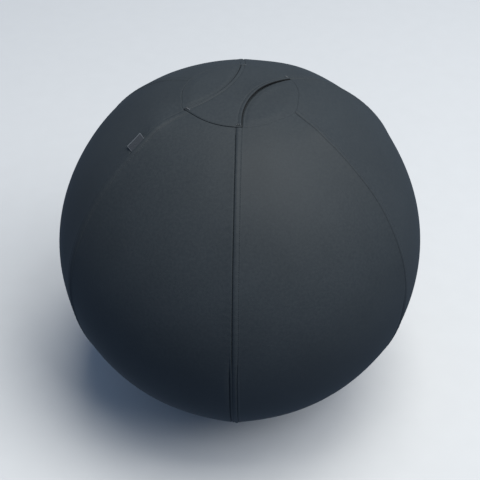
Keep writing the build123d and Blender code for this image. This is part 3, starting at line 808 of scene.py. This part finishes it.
def handle_half(end, lip=0.0):
    """Plan of the handle from its middle to one end, out to a lip past its edges: close beside edges and end."""
    side = np.array([
        0, 0.06, 0.22, 0.45, 0.75, 1.1, 1.5, 2.1, 3, 4, 4.6, 5, 5.3, 5.6, 5.9, 6.2, 6.6, 7.2, 8.2, 10,
    ]) * MM
    middle = np.linspace(-1, 1, 29)[1:-1]
    inset = np.concatenate([side, np.full(len(middle), side[-1]), side[::-1]])
    share = np.concatenate([np.full(len(side), -1.0), middle, np.ones(len(side))])

    def across_at(along):
        return share * (SLOT_CENTRE - np.sqrt((SLOT_RADIUS - lip) ** 2 - along**2) - inset)

    rim = RIM - FIT
    far = np.full(len(share), 0.8 * rim)
    for _ in range(40):
        far = np.sqrt(rim**2 - across_at(far) ** 2)
    from_end = np.concatenate([[11, 8.5, 6.5, 5, 4], np.arange(0, 4, 0.4)[::-1]])[:, None] * MM
    even = np.linspace(0, 1, 36)[:-1, None] * (far - from_end[0])
    along = np.concatenate([even, far - from_end])
    if end < 0:
        along = -along[::-1]
    return along, across_at(along)


def lift_with_handle(obj):
    """Bakes a piece of the handle's place into its mesh."""
    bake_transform(obj)


class SITTINGBALL_OT_handle(bpy.types.Operator):
    """Sews the carry handle: an hourglass band and its lining, turned at the edges and topstitched"""

    bl_idname = "sitting_ball.handle"
    bl_label = "Carry handle"

    def execute(self, context):
        colours = context.scene.sitting_ball_colours
        for end, half_name in HANDLE_HALVES:
            along, across = handle_half(end)
            middle, half = band_height(along, across)
            bottom = middle + LAYER_GAP
            band = crown_shell(
                "sewn_handle_band_" + half_name, along, across, bottom + half, bottom, cover_cloth(colours),
            )
            # The lining reaches past the band's edges and droops; its near-black lip is painted shade along the
            # hand slot
            along, across = handle_half(end, SLOT_SHADE_LIP)
            middle, half = band_height(along, across)
            top = middle - LAYER_GAP - SHADE_LIP_DROOP * np.maximum(-inside_slot_edge(along, across), 0)
            bottom = top - np.maximum(half, LINING_CLOTH)
            lining = crown_shell(
                "sewn_handle_lining_" + half_name, along, across, top, bottom, lining_cloth(colours),
            )
            layers = (band, "handle_band", "cover_cloth"), (lining, "handle_lining", "lining_cloth")
            for obj, node, slot in layers:
                sewn_on(obj, None, node)
                lift_with_handle(obj)
        return {"FINISHED"}


class SITTINGBALL_OT_label(bpy.types.Operator):
    """Folds the side label: a bare loop of woven tape, held in the left seam and standing open"""

    bl_idname = "sitting_ball.label"
    bl_label = "Side label"

    def execute(self, context):
        sizes, colours = context.scene.sitting_ball_sizes, context.scene.sitting_ball_colours
        width, fold = sizes.label_width, sizes.label_fold
        low = FIT + LABEL_TAPE / 2
        # The loop, by shares of its width and height: out of the seam, over the fold and back into the seam
        out_and_over = [(0.28, 0.36), (0.58, 0.68), (0.82, 0.88), (0.93, 0.84), (0.985, 0.5)]
        back = [(0.94, 0.14), (0.84, 0), (0.5, 0)]
        shape = [(x * width, low + y * fold) for x, y in out_and_over + back]
        shape = [(-0.9 * MM, low - 1.1 * MM)] + shape + [(-0.9 * MM, low - 1.6 * MM)]
        fold_start, samples = 3, 9  # the loop starts to turn over at its fourth point
        path = smooth_path(shape, samples)
        run = np.concatenate([[0], np.cumsum(np.linalg.norm(np.diff(path, axis=0), axis=1))])
        down = np.linspace(-0.5, 0.5, 41) * LABEL_LENGTH

        polar = LABEL_MIDDLE + down / PANEL_RADIUS
        seam, step = HALF_PANEL + 0 * polar, 0.01
        fold_line = HALF_PANEL - np.arcsin(width / (SEAM_RADIUS * np.sin(polar)))
        root, far, above, below = (
            on_ball(panel_reach(p, o, LABEL_PANEL), panel_azimuth(p, o, LABEL_PANEL), p)
            for p, o in ((polar, seam), (polar, fold_line), (polar - step, seam), (polar + step, seam))
        )
        across = unit(far - root)
        out = unit(np.cross(across, below - above))
        gape = 1 + LABEL_GAPE * down / LABEL_LENGTH
        layers = []
        for side in (0.5, -0.5):
            reach, height = (path + side * LABEL_TAPE * path_normals(path)).T[..., None]
            lift = low + (height - low) * np.where(height > low, gape, 1)
            layers.append(root + reach[..., None] * across + lift[..., None] * out)
        layout = np.stack(np.broadcast_arrays(run[:, None], down), -1)
        obj = sewn_shell("folded_side_label", *layers, layout, label_tape(colours, run[fold_start * samples]))
        sewn_on(obj, "ball", "side_label")
        return {"FINISHED"}


def base_height(reach):
    """Height of the base panel's underside: flat where it stands, round towards its edge."""
    ball = BALL_CENTRE - np.sqrt(PANEL_RADIUS**2 - reach**2)
    return (ball + np.sqrt(ball**2 + FLAT_ROUNDING**2)) / 2


class SITTINGBALL_OT_base_panel(bpy.types.Operator):
    """Sews the round base panel that the ball stands on, with its hem along the zip and a gusset past its ends"""

    bl_idname = "sitting_ball.base_panel"
    bl_label = "Base panel"

    def execute(self, context):
        canvas = base_cloth(context.scene.sitting_ball_colours)
        length = PANEL_RADIUS * (pi - BASE_EDGE)
        from_edge = fine_steps(
            length, start=12 * MM, start_step=0.6 * MM, end=1 * MM, end_step=0.5 * MM, middle=26,
        )
        polar = BASE_EDGE + from_edge / PANEL_RADIUS
        polar[-1] = pi
        reach = PANEL_RADIUS * np.sin(polar)
        height = base_height(reach) - hem(from_edge) * ease(1 * MM, 4 * MM, base_height(reach))
        under, over = (lathe(np.column_stack([reach, height + lift]), 192) for lift in (0, CLOTH))
        obj = sewn_shell("sewn_base_panel", under, over, under[..., :2], canvas, ring=True)
        past_zip = np.linspace(ZIP_ARC / 2, 2 * pi - ZIP_ARC / 2, 97)
        polar, turn = np.meshgrid(np.linspace(PANEL_END, BASE_EDGE, 15), past_zip, indexing="ij")
        from_seam = np.minimum(polar - PANEL_END, BASE_EDGE - polar) * PANEL_RADIUS
        outside = PANEL_RADIUS - 1.0 * MM * dent(from_seam, 1.0 * MM)
        layout = turn * ZIP_RADIUS, polar * PANEL_RADIUS
        join_into(obj, ball_shell("base_gusset", outside, outside - CLOTH, turn, polar, layout, canvas))
        sewn_on(obj, "ball", "base_panel")
        return {"FINISHED"}


class SITTINGBALL_OT_zip(bpy.types.Operator):
    """Weaves the zip's two tapes and finishes its teeth, stops, slider and pull"""

    bl_idname = "sitting_ball.zip"
    bl_label = "Zip"

    def execute(self, context):
        colours = context.scene.sitting_ball_colours
        tape = zip_tape_cloth(colours)
        azimuth = np.linspace(-ZIP_ARC / 2, ZIP_ARC / 2, 221)
        rib_height, rib_pitch = 0.06 * MM, 1.5 * MM
        for side, edge in ((-1, "cover"), (1, "base")):
            inset = np.linspace(0, TAPE_WIDTH, 22)[::side]
            across = ZIP_POLAR + side * (TAPE_EDGE + inset) / CHAIN_RADIUS
            polar, turn = np.meshgrid(across, azimuth, indexing="ij")
            rib = rib_height * np.cos(2 * pi * inset / rib_pitch)[:, None]
            outside = TAPE_TOP - rib_height + rib + 0 * turn
            inside = np.full_like(outside, TAPE_TOP - TAPE_THICKNESS)
            layout = turn * ZIP_RADIUS, polar * CHAIN_RADIUS
            obj = ball_shell("woven_zip_tape_" + edge, outside, inside, turn, polar, layout, tape)
            sewn_on(obj, "ball", "zip_tape_" + edge)
        # Acetal, injection moulded: close, faintly waxy and nearly black
        acetal = moulded("acetal", colours.zip_teeth, grain=0.5, depth=0.02, roughness=0.42)
        for node in ("zip_teeth_cover", "zip_teeth_base", "zip_stops"):
            paint_node(node, acetal)
        # Die-cast zinc under a baked paint: half gloss, a fine orange peel and rubbed patches
        painted_zinc = moulded(
            "painted zinc", colours.slider, grain=0.6, depth=0.03, roughness=0.38, metallic=0.6, coat=0.3,
        )
        for node in ("zip_slider", "zip_pull"):
            paint_node(node, painted_zinc)
        return {"FINISHED"}


class SITTINGBALL_OT_filling(bpy.types.Operator):
    """Fills the cover: the ballast pouch, its sand, the inner ball and its plug"""

    bl_idname = "sitting_ball.filling"
    bl_label = "Filling"

    def execute(self, context):
        colours = context.scene.sitting_ball_colours
        low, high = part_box("ballast_pouch")
        radius, corner, bottom, top = high.x, POUCH_CORNER, low.z, high.z
        cover = PANEL_RADIUS - CLOTH - FIT
        under = sqrt(cover**2 - (BALL_CENTRE - bottom) ** 2)
        # Half a section: the top, its rounded corner, the side along the cover, and the flat bottom
        shape = [(r, top) for r in np.linspace(0, radius - corner, 22)[:-1]]
        for t in np.linspace(0, pi / 2, 12):
            shape.append((radius - corner + corner * sin(t), top - corner + corner * cos(t)))
        shape += [(r, BALL_CENTRE - sqrt(cover**2 - r**2)) for r in np.linspace(radius, under, 12)[1:]]
        shape = np.array(shape + [(r, bottom) for r in np.linspace(under, 0, 14)[1:]])
        normal = path_normals(shape)
        normal[0], normal[-1] = (0, 1), (0, -1)
        outer, inner = lathe(shape, 120), lathe(shape - POUCH_CLOTH * normal, 120)
        obj = sewn_shell("sewn_ballast_pouch", outer, inner, outer[..., :2], pouch_cloth(colours), ring=True)
        sewn_on(obj, "ball", "ballast_pouch")
        # Quartz sand: dry rounded grains about half a millimetre across, dull and speckled
        sand = moulded("quartz sand", colours.sand, grain=0.5, depth=0.3, roughness=0.85)
        # Vinyl, blown and welded: even, softly shiny, with a faint pebble
        vinyl = moulded("blown vinyl", colours.vinyl, grain=1.5, depth=0.05, roughness=0.4)
        # Polythene, injection moulded: pale, waxy and slightly uneven in gloss
        polythene = moulded("polythene", colours.plug, grain=0.8, depth=0.02, roughness=0.45)
        paint_node("ballast_sand", sand)
        paint_node("inner_ball", vinyl)
        paint_node("valve_plug", polythene)
        return {"FINISHED"}


def thread_tree(name, sizes):
    """A new geometry tree that sews along a path, with named sizes: the tree, its inputs and the path's curve."""
    tree = bpy.data.node_groups.new(name, "GeometryNodeTree")
    sockets = [("Path", "Geometry")] + [(size, "Float") for size in sizes] + [("Thread finish", "Material")]
    for label, kind in sockets:
        tree.interface.new_socket(label, in_out="INPUT", socket_type="NodeSocket" + kind)
    tree.interface.new_socket("Sewn", in_out="OUTPUT", socket_type="NodeSocketGeometry")
    given = add(tree, "NodeGroupInput").outputs
    return tree, given, add(tree, "GeometryNodeMeshToCurve", {"Mesh": given["Path"]}).outputs[0]


def end_tree(tree, geometry, finish):
    """Ends a tree: real meshes, smooth, in the thread's finish."""
    real = add(tree, "GeometryNodeRealizeInstances", {"Geometry": geometry})
    smooth = add(tree, "GeometryNodeSetShadeSmooth", {0: real.outputs[0]})
    finished = add(tree, "GeometryNodeSetMaterial", {"Geometry": smooth.outputs[0], "Material": finish})
    add(tree, "NodeGroupOutput", {0: finished.outputs[0]})
    return tree


def stitch_tree():
    """Geometry nodes: one thread stitch at each step of a path, turned along it."""
    tree, given, line = thread_tree("stitch row", ("Pitch", "Stitch length", "Thread"))
    steps = add(tree, "GeometryNodeResampleCurve", {"Curve": line, "Length": given["Pitch"]}, mode="LENGTH")
    heading = add(tree, "GeometryNodeInputTangent")
    turn = add(tree, "FunctionNodeAlignRotationToVector", {"Vector": heading.outputs[0]}, axis="X")
    bead = add(tree, "GeometryNodeMeshUVSphere", {"Segments": 6, "Rings": 4, "Radius": 0.5})
    size = add(tree, "ShaderNodeCombineXYZ", {0: given["Stitch length"], 1: given["Thread"], 2: given["Thread"]})
    rows = add(
        tree, "GeometryNodeInstanceOnPoints",
        {
            "Points": steps.outputs[0], "Instance": bead.outputs[0], "Rotation": turn.outputs[0],
            "Scale": size.outputs[0],
        },
    )
    return end_tree(tree, rows.outputs[0], given["Thread finish"])


def tack_tree():
    """Geometry nodes: one thread laid along a path, for the dense zigzag of a bar tack."""
    tree, given, line = thread_tree("bar tack", ("Thread",))
    half = add(tree, "ShaderNodeMath", {0: given["Thread"], 1: 0.5}, operation="MULTIPLY")
    section = add(tree, "GeometryNodeCurvePrimitiveCircle", {"Resolution": 6, "Radius": half.outputs[0]})
    laid = add(
        tree, "GeometryNodeCurveToMesh", {"Curve": line, "Profile Curve": section.outputs[0], "Fill Caps": True},
    )
    return end_tree(tree, laid.outputs[0], given["Thread finish"])


def sew(name, paths, tree, values):
    """Runs a thread tree along paths and keeps the result as a plain mesh."""
    points, edges = [], []
    for path in paths:
        edges += [(len(points) + k, len(points) + k + 1) for k in range(len(path) - 1)]
        points += [tuple(p) for p in path]
    guide = bpy.data.meshes.new(name + "_path")
    guide.from_pydata(points, edges, [])
    obj = new_object(name, guide)
    modifier = obj.modifiers.new("thread", "NODES")
    modifier.node_group = tree
    for item in tree.interface.items_tree:
        if item.item_type == "SOCKET" and item.in_out == "INPUT" and item.name in values:
            modifier[item.identifier] = values[item.name]
    bpy.context.view_layer.update()
    graph = bpy.context.evaluated_depsgraph_get()
    sewn = bpy.data.meshes.new_from_object(
        obj.evaluated_get(graph), preserve_all_data_layers=True, depsgraph=graph,
    )
    if not sewn.polygons:
        raise RuntimeError(name + ": the thread tree made no stitches")
    obj.modifiers.remove(modifier)
    obj.data = sewn
    bpy.data.meshes.remove(guide)
    return obj


class SITTINGBALL_OT_stitching(bpy.types.Operator):
    """Sews the visible stitches: along the laps, the handle's edges and the hems of the zip, with bar tacks"""

    bl_idname = "sitting_ball.stitching"
    bl_label = "Stitching"

    def execute(self, context):
        sizes, colours = context.scene.sitting_ball_sizes, context.scene.sitting_ball_colours
        stitches, tack = stitch_tree(), tack_tree()
        # Spun polyester thread: matt twisted fibres, a little lighter than the cloth
        spun = moulded("spun polyester thread", colours.thread, grain=0.4, depth=0.05, roughness=0.7)
        # Bonded polyester thread: thicker, smooth and a little shiny; its colour, lighter than the sewing
        # thread's, is painted sheen
        bonded = moulded("bonded polyester thread", colours.tack, grain=0.5, depth=0.04, roughness=0.5)
        stitch_values = {
            "Pitch": sizes.stitch_pitch, "Stitch length": sizes.stitch_length, "Thread": sizes.thread,
            "Thread finish": spun,
        }
        tack_values = {"Thread": TACK_THREAD * sizes.thread, "Thread finish": bonded}

        polar = np.linspace(RIM_POLAR + 0.012, PANEL_END - 0.008, 420)
        inset = stitch_inset(sizes, ease(*SEAMS_CLOSER, polar))
        offset = -HALF_PANEL + np.arcsin(inset / (SEAM_RADIUS * np.sin(polar)))
        laps = []
        for number in range(len(PANEL_NAMES)):
            reach = panel_outside(sizes, polar, offset, number) + LAP_LIFT
            laps.append(on_ball(reach, panel_azimuth(polar, offset, number), polar))
        turn = np.linspace(-ZIP_ARC / 2, ZIP_ARC / 2, 400)
        hem_polars = PANEL_END - HEM_STITCH / PANEL_RADIUS, BASE_EDGE + HEM_STITCH / PANEL_RADIUS
        hems = [on_ball(PANEL_RADIUS + STITCH_LIFT + 0 * turn, turn, polar + 0 * turn) for polar in hem_polars]
        for name, lines in (("lap_stitches", laps), ("zip_hem_stitches", hems)):
            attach(sew(name, lines, stitches, stitch_values), "ball")

        stitch_radius = SLOT_RADIUS + HANDLE_STITCH
        step = TACK_STEP * np.arange(TACK_STITCHES)
        turn = SLOT_HALF_ANGLE + (TACK_FROM_CORNER + step) / RIM
        reach = RIM - TACK_FROM_RIM + np.where(np.arange(TACK_STITCHES) % 2, TACK_SWING, -TACK_SWING)
        for end, half_name in HANDLE_HALVES:
            edges, tacks = [], []
            for side in (-1, 1):
                along = end * (sizes.stitch_pitch / 2 + np.linspace(0, STITCHED_HALF, 120))
                across = side * (SLOT_CENTRE - np.sqrt(stitch_radius**2 - along**2))
                over = sum(band_height(along, across))
                edges.append(crown_points(along, across, over + STITCH_LIFT))
                along, across = end * reach * np.sin(turn), side * reach * np.cos(turn)
                over = sum(band_height(along, across))
                tacks.append(crown_points(along, across, np.maximum(over, np.median(over)) + TACK_LIFT))
            lift_with_handle(sew("handle_stitches_" + half_name, edges, stitches, stitch_values))
            lift_with_handle(sew("handle_bar_tacks_" + half_name, tacks, tack, tack_values))
        return {"FINISHED"}


def aimed(name, data, azimuth, elevation, distance):
    """Places a lamp or the camera round the ball's centre and turns it towards it."""
    obj = new_object(name, data)
    away = Vector((sin(azimuth) * cos(elevation), -cos(azimuth) * cos(elevation), sin(elevation)))
    obj.location = Vector((0, 0, BALL_CENTRE)) + distance * away
    obj.rotation_euler = away.to_track_quat("Z", "Y").to_euler()
    return obj


class SITTINGBALL_OT_stage(bpy.types.Operator):
    """Sets the pale floor, the soft studio light and the camera"""

    bl_idname = "sitting_ball.stage"
    bl_label = "Studio stage"

    def execute(self, context):
        scene, light = context.scene, context.scene.sitting_ball_light
        mesh = bpy.data.meshes.new("studio_floor")
        corners = [(-1, -1), (1, -1), (1, 1), (-1, 1)]
        mesh.from_pydata([(FLOOR_HALF * x, FLOOR_HALF * y, 0) for x, y in corners], [], [(0, 1, 2, 3)])
        # Painted board: matt and pale, with a trace of uneven tone
        mesh.materials.append(moulded(
            "painted board", scene.sitting_ball_colours.floor, grain=4, depth=0.02, roughness=0.85, mottle=0.008,
        ))
        floor = new_object("studio_floor", mesh)
        # No light bounces from the floor, as over a black table top
        floor.visible_diffuse = floor.visible_glossy = False
        for name, power, colour, azimuth, elevation in (
            ("top_light", light.top_power, light.top, 90, 80),
            ("side_light", light.side_power, light.side, 60, 50),
        ):
            lamp = bpy.data.lights.new(name, "AREA")
            lamp.energy, lamp.color, lamp.size = power, colour[:3], LAMP_WIDTH
            aimed(name, lamp, radians(azimuth), radians(elevation), LAMP_DISTANCE)
        scene.world = bpy.data.worlds.new("studio")
        scene.world.use_nodes = True
        tree = scene.world.node_tree
        tree.nodes.clear()
        sky = add(tree, "ShaderNodeBackground", {"Color": light.sky, "Strength": light.sky_strength})
        add(tree, "ShaderNodeOutputWorld", {"Surface": sky.outputs[0]})
        lens = bpy.data.cameras.new("camera")
        lens.lens, lens.sensor_width = CAMERA_LENS, CAMERA_SENSOR
        scene.camera = aimed("camera", lens, CAMERA_AZIMUTH, CAMERA_ELEVATION, CAMERA_DISTANCE)
        scene.view_settings.view_transform = "Standard"
        return {"FINISHED"}


class SITTINGBALL_PT_sidebar(bpy.types.Panel):
    """Sizes, colours and steps of the sitting ball"""

    bl_idname = "SITTINGBALL_PT_sidebar"
    bl_label = "Sitting ball"
    bl_space_type = "VIEW_3D"
    bl_region_type = "UI"
    bl_category = "Sitting ball"

    def draw(self, context):
        for step in STEPS:
            self.layout.operator(step.bl_idname)
        for name in GROUPS:
            group, box = getattr(context.scene, name), self.layout.box()
            for setting in group.__annotations__:
                box.prop(group, setting)


STEPS = (
    SITTINGBALL_OT_cover_panels,
    SITTINGBALL_OT_top_cap,
    SITTINGBALL_OT_handle,
    SITTINGBALL_OT_label,
    SITTINGBALL_OT_base_panel,
    SITTINGBALL_OT_zip,
    SITTINGBALL_OT_filling,
    SITTINGBALL_OT_stitching,
    SITTINGBALL_OT_stage,
)
GROUPS = {
    "sitting_ball_sizes": SittingBallSizes,
    "sitting_ball_colours": SittingBallColours,
    "sitting_ball_light": SittingBallLight,
}


def register():
    for name, group in GROUPS.items():
        bpy.utils.register_class(group)
        setattr(bpy.types.Scene, name, PointerProperty(type=group))
    for step in STEPS + (SITTINGBALL_PT_sidebar,):
        bpy.utils.register_class(step)


def unregister():
    for step in (SITTINGBALL_PT_sidebar,) + STEPS[::-1]:
        bpy.utils.unregister_class(step)
    for name, group in GROUPS.items():
        delattr(bpy.types.Scene, name)
        bpy.utils.unregister_class(group)


def main():
    register()
    for step in STEPS:
        group, name = step.bl_idname.split(".")
        getattr(getattr(bpy.ops, group), name)()


if __name__ == "__main__":
    main()
